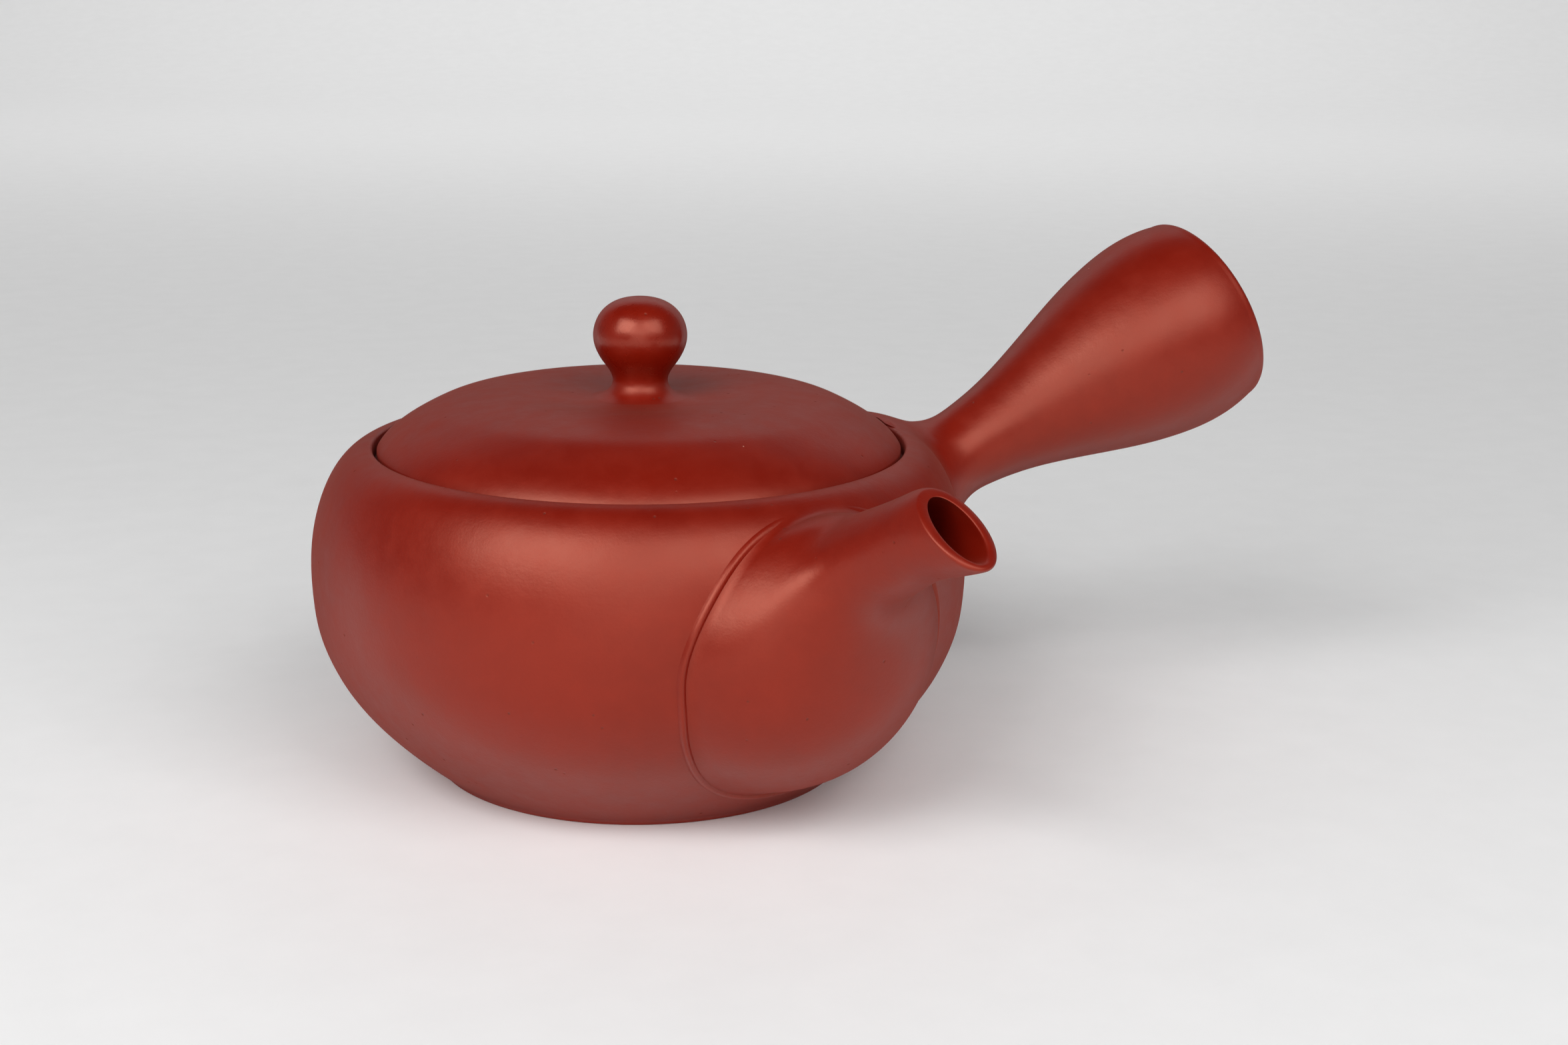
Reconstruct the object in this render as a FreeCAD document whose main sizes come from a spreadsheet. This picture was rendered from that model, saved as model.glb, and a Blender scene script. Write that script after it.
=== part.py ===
import FreeCAD, Part
import Sketcher
import math
import os

# Side-handled teapot in unglazed red clay.  Millimetres, +Z up.  The origin is the
# centre of the foot ring on the surface that the pot stands on, and +X points along
# the handle.  The pot and the lid turn about Z; the spout leaves at spout_turn.

Vector = FreeCAD.Vector
Rotation = FreeCAD.Rotation
Placement = FreeCAD.Placement

# Single sizes: name, value.
SIZES = {
    # bowl
    "foot_radius": 34.6,        # outer edge of the foot ring on the table
    "foot_width": 5.0,          # width of the ring that touches the table
    "foot_recess": 1.2,         # how far the base is hollowed inside the ring
    "foot_step_slope": 1.0,     # how far that hollow's wall slopes in
    "floor_height": 4.6,        # top of the floor inside the bowl
    "rim_radius": 43.6,         # inside wall of the mouth, around the lid
    "rim_lip": 0.7,             # flat top of the mouth's edge
    "rim_height": 54.0,
    "rim_softening": 0.5,       # rounding of the mouth's inner edge
    "ledge_height": 51.2,       # ledge that the lid rests on
    "throat_radius": 40.0,      # inner edge of that ledge
    "throat_depth": 2.4,        # thickness of the ledge at its inner edge
    "pouring_hole_radius": 15.5,
    "pouring_hole_height": 26.0,
    # spout
    "spout_turn": -79.0,        # degrees about +Z from the handle to the spout
    "lip_rounding": 0.45,
    # luting bead around the foot of the spout
    "seam_axis_height": 28.7,
    "seam_radius": 23.75,
    "seam_width": 1.3,
    "seam_rise": 0.4,
    # strainer dome inside the bowl
    "strainer_height": 26.0,    # height of the dome's axis
    "strainer_ball_radius": 20.0,
    "strainer_ball_centre": 57.5,
    "strainer_wall": 1.6,
    "sieve_hole_radius": 0.65,
    "sieve_hole_pitch": 2.7,
    "strainer_seam_rise": 0.9,
    "strainer_seam_width": 1.3,
    # handle
    "handle_tilt": 24.0,        # degrees above the horizontal
    "handle_axis_height": 20.0, # where the handle's axis meets the bowl's axis
    "handle_end_rounding": 1.3,
    # lid
    "lid_radius": 42.9,
    "lid_edge_height": 53.5,    # where the domed top turns down into the edge
    "lid_edge_rounding": 0.5,
    "lid_pad_radius": 7.5,      # flat in the middle that the knob is luted to
    "lid_pad_height": 61.5,
    "flange_radius": 39.3,
    "flange_wall": 2.8,
    "flange_bottom": 44.2,
    "flange_edge_rounding": 0.8,
    "flange_root_drop": 3.0,    # its inner corner, below the control point under the flank
    "vent_radius": 1.6,
    "vent_distance": 13.5,
    "vent_turn": 69.0,          # degrees about +Z from the handle to the steam hole
    "knob_height": 16.35,       # above the lid's pad
}

# Outlines: control points of smooth curves, as (radius, height) from the bowl's axis.
BOWL_OUTSIDE = [("foot_edge", 35.1, 1.0), ("low_flank", 46.1, 9.7), ("flank", 52.9, 21.1),
                ("belly", 54.0, 29.3), ("high_belly", 54.3, 42.5), ("shoulder", 48.9, 53.3)]
BOWL_INSIDE = [("inner_floor", 30.5, 4.6), ("inner_low_flank", 43.0, 11.0),
               ("inner_flank", 50.0, 21.8), ("inner_belly", 50.9, 29.5),
               ("inner_high_belly", 51.3, 40.5), ("inner_shoulder", 47.2, 48.8)]
LID_TOP = [("lid_bend", 41.6, 55.9), ("lid_flank", 34.5, 60.0), ("lid_crown", 30.7, 61.4),
           ("lid_top", 20.3, 62.7), ("lid_dip", 14.9, 61.8)]
LID_UNDERSIDE = [("under_pad", 8.0, 58.4), ("under_crown", 24.0, 59.6),
                 ("under_flank", 34.0, 57.0)]

# The handle's outlines are (distance along its own axis, radius), from the bowl's axis.
HANDLE_OUTSIDE = [("handle_root", 45.0, 19.5), ("handle_flare", 54.6, 13.2),
                  ("handle_neck", 61.8, 7.2), ("handle_waist", 68.5, 7.6),
                  ("handle_rise", 78.0, 9.1), ("handle_grip", 92.0, 13.9),
                  ("handle_swell", 104.1, 17.8), ("handle_bulge", 115.5, 19.2),
                  ("handle_end", 121.3, 17.4)]
HANDLE_INSIDE = [("hollow_mouth", 121.3, 14.4), ("hollow_bulge", 112.0, 16.6),
                 ("hollow_swell", 101.0, 13.6), ("hollow_grip", 89.0, 9.0),
                 ("hollow_rise", 78.0, 5.6), ("hollow_bottom", 71.0, 4.4)]
HOLLOW_END = 68.0

# The knob: (radius, height above the pad), from the pad up to its rounded top.
KNOB_OUTSIDE = [("knob_foot", 7.5, 0.0), ("knob_flare", 4.9, 0.3), ("knob_waist", 4.7, 1.1),
                ("knob_neck", 4.25, 2.8), ("knob_throat", 5.5, 5.1), ("knob_cheek", 6.85, 6.65),
                ("knob_side", 8.6, 11.3)]
KNOB_BROW = 5.0          # radius at which the top of the knob starts to level off

# Spout sections in its own upright plane: top and bottom as (distance out, height),
# half the width across, the clay's thickness there, and how far the section's upper
# half is drawn in, where the round bulb rises into the narrow neck.
SPOUT_SECTIONS = [
    ("base", 44.0, 50.3, 38.0, 5.0, 26.6, 2.8, 0.0),
    ("bulb", 50.5, 52.0, 50.0, 9.6, 22.1, 2.8, 0.1),
    ("front", 55.0, 53.0, 59.5, 21.5, 15.5, 2.7, 0.4),
    ("throat", 58.8, 54.1, 63.2, 37.7, 9.0, 2.3, 0.3),
    ("neck", 64.2, 56.5, 70.4, 44.4, 6.7, 2.0, 0.1),
    ("collar", 70.0, 59.3, 76.9, 48.2, 5.8, 1.7, 0.0),
    ("lip", 73.6, 60.5, 86.6, 51.7, 4.9, 1.3, 0.0),
]

SIEVE_RINGS = 5
HOLES_PER_RING_STEP = 6
CLEARANCE_ABOVE_RIM = 12.0   # how far the trimming shape reaches above the mouth
FAR_OUT = 20.0               # how far cutting shapes reach beyond the belly
LIP_DEPTH = 1.0              # the lip's edges lie within this of its section
SAME_PLACE = 0.01            # closer than this, two lengths count as one
LEAST_CUT = 1e-3             # a cut that takes less than this has missed

# An oval is a closed cubic curve on evenly turned control points.  They stand this
# many times further out than the oval that the curve then follows.
OVAL_POLES = 8
OVAL_REACH = 3 / (2 + math.cos(2 * math.pi / OVAL_POLES))


class Size:
    """A size that carries both its number and the sheet expression it comes from."""

    def __init__(self, value, text):
        self.value = value
        self.text = text

    def combined(self, other, sign, value):
        return Size(value, f"({self.text} {sign} {as_size(other).text})")

    def __add__(self, other):
        return self.combined(other, "+", self.value + as_size(other).value)

    def __sub__(self, other):
        return self.combined(other, "-", self.value - as_size(other).value)

    def __mul__(self, other):
        return self.combined(other, "*", self.value * as_size(other).value)

    def __truediv__(self, other):
        return self.combined(other, "/", self.value / as_size(other).value)


def as_size(number):
    return number if isinstance(number, Size) else Size(float(number), repr(float(number)))


def hypot(first, second):
    return Size(math.hypot(first.value, second.value), f"hypot({first.text}; {second.text})")


def tilt_of(rise, run):
    """Angle in degrees of a line whose top leans back by run over rise."""
    angle = math.degrees(math.atan2(run.value, rise.value))
    return Size(angle, f"atan2({run.text}; {rise.text}) / 1 deg")


def fill_sheet(sheet):
    """Write every driving size into the sheet and return them all by name."""
    entries = dict(SIZES)
    for name, radius, height in BOWL_OUTSIDE + BOWL_INSIDE + LID_TOP + LID_UNDERSIDE + KNOB_OUTSIDE:
        entries[name + "_radius"] = radius
        entries[name + "_height"] = height
    for name, along, radius in HANDLE_OUTSIDE + HANDLE_INSIDE:
        entries[name + "_along"] = along
        entries[name + "_radius"] = radius
    for name, top_out, top_up, bottom_out, bottom_up, half_width, wall, draw_in in SPOUT_SECTIONS:
        entries[name + "_top_out"] = top_out
        entries[name + "_top_height"] = top_up
        entries[name + "_bottom_out"] = bottom_out
        entries[name + "_bottom_height"] = bottom_up
        entries[name + "_half_width"] = half_width
        entries[name + "_wall"] = wall
        entries[name + "_draw_in"] = draw_in
    entries["hollow_end"] = HOLLOW_END
    entries["knob_brow_radius"] = KNOB_BROW
    for row, (name, value) in enumerate(entries.items(), start=1):
        sheet.set(f"A{row}", name)
        sheet.set(f"B{row}", str(value))
        sheet.setAlias(f"B{row}", name)
    return {name: Size(value, f"Dimensions.{name}") for name, value in entries.items()}


def curve_points(outline, first, second):
    """Control points of an outline, as pairs of sizes."""
    return [(size[name + first], size[name + second]) for name, _, _ in outline]


def origin_plane(body, role):
    return next(plane for plane in body.Origin.OriginFeatures if plane.Role == role)


def new_body(name):
    body = doc.addObject("PartDesign::Body", name)
    body.Label = name
    return body


def new_sketch(body, name, role):
    sketch = body.newObject("Sketcher::SketchObject", name)
    sketch.AttachmentSupport = [(origin_plane(body, role), "")]
    sketch.MapMode = "FlatFace"
    return sketch


def bind(sketch, index, name, amount):
    """Name a constraint and tie it to the sheet."""
    sketch.renameConstraint(index, name)
    sketch.setExpression(f"Constraints.{name}", amount.text)


def pin_point(sketch, geometry, end, point, name):
    """Hold one point of a sketch at a pair of sizes, measured from the sketch's origin."""
    across = sketch.addConstraint(
        Sketcher.Constraint("DistanceX", -1, 1, geometry, end, point[0].value))
    bind(sketch, across, name + "_x", point[0])
    upward = sketch.addConstraint(
        Sketcher.Constraint("DistanceY", -1, 1, geometry, end, point[1].value))
    bind(sketch, upward, name + "_y", point[1])


def flat(point):
    return Vector(point[0].value, point[1].value, 0)


def add_curve(sketch, points, name, closed=False):
    """A smooth curve on control points, each held at its place."""
    curve = Part.BSplineCurve()
    curve.buildFromPoles([flat(point) for point in points], closed, 3)
    index = sketch.addGeometry(curve)
    sketch.exposeInternalGeometry(index)
    poles = [c.First for c in sketch.Constraints
             if c.Type == "InternalAlignment" and c.Second == index
             and sketch.Geometry[c.First].TypeId == "Part::GeomCircle"]
    for number, (pole, point) in enumerate(zip(poles, points)):
        pin_point(sketch, pole, 3, point, f"{name}_{number}")


def add_profile(sketch, pieces):
    """A closed outline from pieces, each a straight run or a smooth curve of points.

    Each piece starts where the one before it ends.
    """
    for number, (kind, points) in enumerate(pieces):
        if kind == "curve":
            add_curve(sketch, points, f"curve{number}")
            continue
        for step, (start, end) in enumerate(zip(points, points[1:])):
            index = sketch.addGeometry(Part.LineSegment(flat(start), flat(end)))
            pin_point(sketch, index, 1, start, f"line{number}_{step}_start")
            pin_point(sketch, index, 2, end, f"line{number}_{step}_end")


def revolve(body, name, sketch, axis, kind="Revolution"):
    """Turn a closed sketch a full circle about one of its own axes."""
    feature = body.newObject(f"PartDesign::{kind}", name)
    feature.Profile = sketch
    feature.ReferenceAxis = (sketch, [axis])
    feature.Angle = 360.0
    doc.recompute()
    return feature


def checked_cut(body, before, name):
    """Stop if the latest cut took nothing away."""
    if body.Shape.Volume > before - LEAST_CUT:
        raise RuntimeError(f"{name} cuts nothing")


def groove(body, name, sketch, axis):
    before = body.Shape.Volume
    feature = revolve(body, name, sketch, axis, "Groove")
    checked_cut(body, before, name)
    return feature


def pocket(body, name, sketch, both_ways=False, reverse=False, depth=None):
    """Cut a sketch through everything, or to a stated depth."""
    before = body.Shape.Volume
    feature = body.newObject("PartDesign::Pocket", name)
    feature.Profile = sketch
    feature.Type = "ThroughAll" if depth is None else "Length"
    if depth is not None:
        feature.setExpression("Length", depth.text)
    feature.Midplane = both_ways
    feature.Reversed = reverse
    doc.recompute()
    checked_cut(body, before, name)
    return feature


def round_edges(body, name, base, radius, chosen):
    """Fillet the edges of a feature that pass a test on the edge."""
    edges = [f"Edge{number}" for number, edge in enumerate(base.Shape.Edges, start=1)
             if not edge.Degenerated and chosen(edge)]
    if not edges:
        raise RuntimeError(f"{name} finds no edge")
    fillet = body.newObject("PartDesign::Fillet", name)
    fillet.Base = (base, edges)
    fillet.setExpression("Radius", radius.text)
    doc.recompute()
    return fillet


def ring_edge(radius, height):
    """A test for a full circle about Z with a radius and a height."""
    def test(edge):
        curve = edge.Curve
        return (curve.TypeId == "Part::GeomCircle" and abs(curve.Radius - radius.value) < SAME_PLACE
                and abs(curve.Center.z - height.value) < SAME_PLACE)
    return test


def rim_outside():
    return size["rim_radius"] + size["rim_lip"]


def bowl_surface():
    """The bowl's outside curve, from the foot up to the mouth."""
    points = curve_points(BOWL_OUTSIDE, "_radius", "_height")
    return points + [(rim_outside(), size["rim_height"])]


def bowl_wall_inside():
    """The bowl's inside curve, from the floor up to the throat."""
    throat = (size["throat_radius"], size["ledge_height"] - size["throat_depth"])
    return curve_points(BOWL_INSIDE, "_radius", "_height") + [throat]


def trim_to_bowl(body, name, skin=None):
    """Cut away all that lies inside the bowl's outside surface.

    With a skin, cut instead all that lies further out than that thickness.
    """
    surface = bowl_surface()
    sketch = new_sketch(body, name + "_outline", "XZ_Plane")
    top = size["rim_height"] + CLEARANCE_ABOVE_RIM
    axis_low = (ZERO, surface[0][1])
    axis_high = (ZERO, top)
    rim_high = (surface[-1][0], top)
    if skin is None:
        pieces = [("line", [axis_high, axis_low, surface[0]]), ("curve", surface),
                  ("line", [surface[-1], rim_high, axis_high])]
    else:
        raised = [(radius + skin, height) for radius, height in surface]
        far_low = (size["belly_radius"] + FAR_OUT, raised[0][1])
        far_high = (size["belly_radius"] + FAR_OUT, top)
        rim_raised = (raised[-1][0], top)
        pieces = [("curve", raised),
                  ("line", [raised[-1], rim_raised, far_high, far_low, raised[0]])]
    add_profile(sketch, pieces)
    return groove(body, name, sketch, "V_Axis")


def make_pot_body():
    """The thrown bowl: one turned wall, then the hole that pours into the spout."""
    body = new_body("pot_body")
    sketch = new_sketch(body, "bowl_outline", "XZ_Plane")
    surface = bowl_surface()
    inside = bowl_wall_inside()
    foot = size["foot_radius"]
    ring_inside = foot - size["foot_width"]
    hollow_edge = ring_inside - size["foot_step_slope"]
    axis_floor = (ZERO, size["floor_height"])
    axis_base = (ZERO, size["foot_recess"])
    pieces = [
        ("line", [axis_floor, axis_base, (hollow_edge, size["foot_recess"]),
                  (ring_inside, ZERO), (foot, ZERO), surface[0]]),
        ("curve", surface),
        ("line", [surface[-1], (size["rim_radius"], size["rim_height"]),
                  (size["rim_radius"], size["ledge_height"]),
                  (size["throat_radius"], size["ledge_height"]), inside[-1]]),
        ("curve", list(reversed(inside))),
        ("line", [inside[0], axis_floor]),
    ]
    add_profile(sketch, pieces)
    bowl = revolve(body, "bowl", sketch, "V_Axis")
    rim_edge = ring_edge(size["rim_radius"], size["rim_height"])
    round_edges(body, "rim_softening", bowl, size["rim_softening"], rim_edge)

    hole = new_sketch(body, "pouring_hole_outline", "YZ_Plane")
    hole.AttachmentOffset = Placement(Vector(), Rotation(Vector(0, 1, 0), size["spout_turn"].value))
    hole.setExpression(".AttachmentOffset.Rotation.Angle", size["spout_turn"].text)
    circle = hole.addGeometry(Part.Circle(Vector(0, size["pouring_hole_height"].value, 0),
                                          Vector(0, 0, 1), size["pouring_hole_radius"].value))
    hole_centre = (ZERO, size["pouring_hole_height"])
    hold_circle(hole, circle, hole_centre, size["pouring_hole_radius"], "hole")
    pocket(body, "pouring_hole", hole, reverse=True)
    return body


def hold_circle(sketch, index, centre, radius, name):
    pin_point(sketch, index, 3, centre, name)
    held = sketch.addConstraint(Sketcher.Constraint("Radius", index, radius.value))
    bind(sketch, held, name + "_radius", radius)


def spout_section(body, name, shrink):
    """One oval section of the spout, square to the upright plane that the spout lies in."""
    top_out = size[name + "_top_out"]
    top_up = size[name + "_top_height"]
    bottom_out = size[name + "_bottom_out"]
    bottom_up = size[name + "_bottom_height"]
    out = (top_out + bottom_out) / 2
    up = (top_up + bottom_up) / 2
    tilt = tilt_of(top_up - bottom_up, top_out - bottom_out)
    half_height = hypot(top_out - bottom_out, top_up - bottom_up) / 2
    half_width = size[name + "_half_width"]
    kind = "outside"
    if shrink:
        half_height = half_height - size[name + "_wall"]
        half_width = half_width - size[name + "_wall"]
        kind = "inside"
    sketch = new_sketch(body, f"{name}_{kind}", "YZ_Plane")
    # The section plane's own axes are the row's Y, Z and X.
    sketch.AttachmentOffset = Placement(Vector(0, up.value, out.value),
                                        Rotation(Vector(1, 0, 0), tilt.value))
    sketch.setExpression(".AttachmentOffset.Base.y", up.text)
    sketch.setExpression(".AttachmentOffset.Base.z", out.text)
    sketch.setExpression(".AttachmentOffset.Rotation.Angle", tilt.text)
    oval = []
    for step in range(OVAL_POLES):
        angle = 2 * math.pi * step / OVAL_POLES
        across = OVAL_REACH * math.cos(angle)
        rise = OVAL_REACH * math.sin(angle)
        narrowing = as_size(1) - size[name + "_draw_in"] * max(math.sin(angle), 0) ** 2
        oval.append((half_width * across * narrowing, half_height * rise))
    add_curve(sketch, oval, "oval", closed=True)
    return sketch


def loft(body, name, kind, sections):
    feature = body.newObject(f"PartDesign::{kind}", name)
    feature.Profile = sections[0]
    feature.Sections = sections[1:]
    doc.recompute()
    return feature


def make_spout():
    """A hollow bulb that narrows to a pinched, slanting lip, cut to fit the bowl."""
    body = new_body("spout")
    names = [entry[0] for entry in SPOUT_SECTIONS]
    outer = [spout_section(body, name, shrink=False) for name in names]
    loft(body, "spout_outside", "AdditiveLoft", outer)
    inner = [spout_section(body, name, shrink=True) for name in names]
    before = body.Shape.Volume
    channel = loft(body, "spout_channel", "SubtractiveLoft", inner)
    checked_cut(body, before, "spout_channel")
    lip_start = size["lip_top_out"].value - LIP_DEPTH

    def lip_edge(edge):
        return edge.isClosed() and edge.BoundBox.XMin > lip_start

    round_edges(body, "lip_rounding", channel, size["lip_rounding"], lip_edge)
    trim_to_bowl(body, "spout_seat")
    turn_to_spout(body)
    return body


def turn_to_spout(body):
    """Bodies on the spout are drawn with it along +X, then turned about Z."""
    body.Placement = Placement(Vector(), Rotation(Vector(0, 0, 1), size["spout_turn"].value))
    body.setExpression(".Placement.Rotation.Angle", size["spout_turn"].text)


def make_spout_seam():
    """The bead of clay worked into the joint, a low band on the bowl around the spout."""
    body = new_body("spout_seam")
    sketch = new_sketch(body, "seam_ring", "YZ_Plane")
    centre = (ZERO, size["seam_axis_height"])
    for name, radius in (("inner", size["seam_radius"]),
                         ("outer", size["seam_radius"] + size["seam_width"])):
        circle = Part.Circle(flat(centre), Vector(0, 0, 1), radius.value)
        hold_circle(sketch, sketch.addGeometry(circle), centre, radius, name)
    pad = body.newObject("PartDesign::Pad", "seam_tube")
    pad.Profile = sketch
    pad.setExpression("Length", (size["belly_radius"] + FAR_OUT / 2).text)
    doc.recompute()
    trim_to_bowl(body, "seam_seat")
    trim_to_bowl(body, "seam_skin", skin=size["seam_rise"])
    turn_to_spout(body)
    return body


def dome_shell(body, name, outer, inner):
    """Half of a hollow ball, turned about the spout's own level axis."""
    sketch = new_sketch(body, name + "_outline", "XZ_Plane")
    height = size["strainer_height"]
    sketch.AttachmentOffset = Placement(Vector(0, height.value, 0), Rotation())
    sketch.setExpression(".AttachmentOffset.Base.y", height.text)
    centre = (size["strainer_ball_centre"], ZERO)
    arcs = []
    for side, radius in (("outer", outer), ("inner", inner)):
        circle = Part.Circle(flat(centre), Vector(0, 0, 1), radius.value)
        arc = sketch.addGeometry(Part.ArcOfCircle(circle, math.pi / 2, math.pi))
        hold_circle(sketch, arc, centre, radius, side)
        sketch.addConstraint(Sketcher.Constraint("PointOnObject", arc, 2, -1))
        arcs.append(arc)
    for end, direction in ((1, "Vertical"), (2, "Horizontal")):
        tips = [sketch.getPoint(arc, end) for arc in arcs]
        line = sketch.addGeometry(Part.LineSegment(*tips))
        for line_end, arc in enumerate(arcs, start=1):
            sketch.addConstraint(Sketcher.Constraint("Coincident", line, line_end, arc, end))
        if direction == "Vertical":
            sketch.addConstraint(Sketcher.Constraint(direction, line))
            held = sketch.addConstraint(
                Sketcher.Constraint("DistanceX", -1, 1, line, 1, centre[0].value))
            bind(sketch, held, "equator", centre[0])
    return revolve(body, name, sketch, "H_Axis")


def cut_beyond_wall(body, name):
    """Cut away all that lies beyond the bowl's inside wall."""
    inside = bowl_wall_inside()
    far = size["belly_radius"] + FAR_OUT
    sketch = new_sketch(body, name + "_outline", "XZ_Plane")
    pieces = [("curve", inside),
              ("line", [inside[-1], (far, inside[-1][1]), (far, inside[0][1]), inside[0]])]
    add_profile(sketch, pieces)
    return groove(body, name, sketch, "V_Axis")


def cut_short_of_wall(body, name, width):
    """Cut away all that lies further inside the bowl than a width from its wall."""
    kept = [(radius - width, height) for radius, height in bowl_wall_inside()]
    sketch = new_sketch(body, name + "_outline", "XZ_Plane")
    pieces = [("curve", kept),
              ("line", [kept[-1], (ZERO, kept[-1][1]), (ZERO, kept[0][1]), kept[0]])]
    add_profile(sketch, pieces)
    return groove(body, name, sketch, "V_Axis")


def make_strainer():
    """A dome of clay pierced with rings of fine holes, inside the bowl behind the spout."""
    body = new_body("strainer")
    ball = size["strainer_ball_radius"]
    dome_shell(body, "dome", ball, ball - size["strainer_wall"])
    cut_beyond_wall(body, "wall_side")
    for ring in range(SIEVE_RINGS + 1):
        sketch = new_sketch(body, f"sieve_ring_{ring}_outline", "YZ_Plane")
        centre = (size["sieve_hole_pitch"] * ring, size["strainer_height"])
        circle = Part.Circle(flat(centre), Vector(0, 0, 1), size["sieve_hole_radius"].value)
        hold_circle(sketch, sketch.addGeometry(circle), centre, size["sieve_hole_radius"], "hole")
        hole = pocket(body, f"sieve_ring_{ring}", sketch, reverse=True)
        if ring > 0:
            pattern = body.newObject("PartDesign::PolarPattern", f"sieve_pattern_{ring}")
            pattern.Originals = [hole]
            pattern.Axis = (body.getObject("dome_outline"), ["H_Axis"])
            pattern.Angle = 360.0
            pattern.Occurrences = HOLES_PER_RING_STEP * ring
            body.Tip = pattern
            doc.recompute()
    turn_to_spout(body)
    return body


def make_strainer_seam():
    """The collar of clay that luted the strainer to the bowl's wall."""
    body = new_body("strainer_seam")
    ball = size["strainer_ball_radius"]
    dome_shell(body, "collar", ball + size["strainer_seam_rise"], ball)
    cut_beyond_wall(body, "collar_wall_side")
    cut_short_of_wall(body, "collar_edge", size["strainer_seam_width"])
    turn_to_spout(body)
    return body


def make_handle():
    """A hollow thrown handle, flared where it is luted on and open at its far end."""
    body = new_body("handle")
    sketch = new_sketch(body, "handle_outline", "XZ_Plane")
    tilt = size["handle_tilt"]
    rise = size["handle_axis_height"]
    sketch.AttachmentOffset = Placement(Vector(0, rise.value, 0),
                                        Rotation(Vector(0, 0, 1), tilt.value))
    sketch.setExpression(".AttachmentOffset.Base.y", rise.text)
    sketch.setExpression(".AttachmentOffset.Rotation.Angle", tilt.text)
    outside = curve_points(HANDLE_OUTSIDE, "_along", "_radius")
    inside = curve_points(HANDLE_INSIDE, "_along", "_radius")
    hollow_end = (size["hollow_end"], ZERO)
    hollow_corner = (size["hollow_end"], inside[-1][1])
    root_on_axis = (outside[0][0], ZERO)
    rounded_bottom = inside + [hollow_corner, hollow_end]
    pieces = [
        ("line", [root_on_axis, outside[0]]),
        ("curve", outside),
        ("line", [outside[-1], inside[0]]),
        ("curve", rounded_bottom),
        ("line", [hollow_end, root_on_axis]),
    ]
    add_profile(sketch, pieces)
    grip = revolve(body, "grip", sketch, "H_Axis")
    end_radii = (outside[-1][1].value, inside[0][1].value)

    def end_edge(edge):
        curve = edge.Curve
        return (curve.TypeId == "Part::GeomCircle"
                and any(abs(curve.Radius - radius) < SAME_PLACE for radius in end_radii))
    round_edges(body, "end_rounding", grip, size["handle_end_rounding"], end_edge)
    trim_to_bowl(body, "handle_seat")
    return body


def make_lid():
    """The domed lid, with the flange that centres it in the mouth and its steam hole."""
    body = new_body("lid")
    sketch = new_sketch(body, "lid_outline", "XZ_Plane")
    edge_top = (size["lid_radius"], size["lid_edge_height"])
    edge_low = (size["lid_radius"], size["ledge_height"])
    flange = size["flange_radius"]
    flange_inside = flange - size["flange_wall"]
    seat_inner = (flange, size["ledge_height"])
    flange_low = (flange, size["flange_bottom"])
    inner_low = (flange_inside, size["flange_bottom"])
    inner_high = (flange_inside, size["under_flank_height"] - size["flange_root_drop"])
    under = curve_points(LID_UNDERSIDE, "_radius", "_height")
    axis_under = (ZERO, size["under_pad_height"])
    pad_edge = (size["lid_pad_radius"], size["lid_pad_height"])
    axis_top = (ZERO, size["lid_pad_height"])
    crown = curve_points(LID_TOP, "_radius", "_height")
    pieces = [
        ("line", [axis_top, axis_under, under[0]]),
        ("curve", under + [inner_high]),
        ("line", [inner_high, inner_low, flange_low, seat_inner, edge_low, edge_top]),
        ("curve", [edge_top] + crown + [pad_edge]),
        ("line", [pad_edge, axis_top]),
    ]
    add_profile(sketch, pieces)
    dome = revolve(body, "dome_and_flange", sketch, "V_Axis")
    edge = round_edges(body, "lid_edge_rounding", dome, size["lid_edge_rounding"],
                       ring_edge(size["lid_radius"], size["ledge_height"]))
    round_edges(body, "flange_edge_rounding", edge, size["flange_edge_rounding"],
                ring_edge(flange, size["flange_bottom"]))

    vent = new_sketch(body, "vent_outline", "XY_Plane")
    turn = size["vent_turn"]
    vent.AttachmentOffset = Placement(Vector(), Rotation(Vector(0, 0, 1), turn.value))
    vent.setExpression(".AttachmentOffset.Rotation.Angle", turn.text)
    centre = (size["vent_distance"], ZERO)
    circle = Part.Circle(flat(centre), Vector(0, 0, 1), size["vent_radius"].value)
    hold_circle(vent, vent.addGeometry(circle), centre, size["vent_radius"], "vent")
    pocket(body, "steam_hole", vent, reverse=True)
    return body


def make_knob():
    """A rounded knob, a little flattened on top, on a neck that flares onto the lid's pad."""
    body = new_body("knob")
    sketch = new_sketch(body, "knob_outline", "XZ_Plane")
    outside = curve_points(KNOB_OUTSIDE, "_radius", "_height")
    brow = (size["knob_brow_radius"], size["knob_height"])
    top = (ZERO, size["knob_height"])
    pieces = [("line", [top, (ZERO, ZERO), outside[0]]), ("curve", outside + [brow, top])]
    add_profile(sketch, pieces)
    revolve(body, "turned_knob", sketch, "V_Axis")
    body.Placement = Placement(Vector(0, 0, size["lid_pad_height"].value), Rotation())
    body.setExpression(".Placement.Base.z", size["lid_pad_height"].text)
    return body


def check_and_export(bodies):
    doc.recompute()
    failed = [item.Name for item in doc.Objects
              if any(word in item.State for word in ("Invalid", "Error"))]
    if failed:
        raise RuntimeError(f"failed objects: {failed}")
    for body in bodies:
        shape = body.Shape
        if shape.isNull() or not shape.isValid() or shape.Volume <= 0:
            raise RuntimeError(f"{body.Label} has no good shape")
    os.makedirs("parts", exist_ok=True)
    for body in bodies:
        print(body.Label, "volume", round(body.Shape.Volume, 1), "solids", len(body.Shape.Solids))
        body.Shape.exportStep(f"parts/{body.Label}.step")


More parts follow.
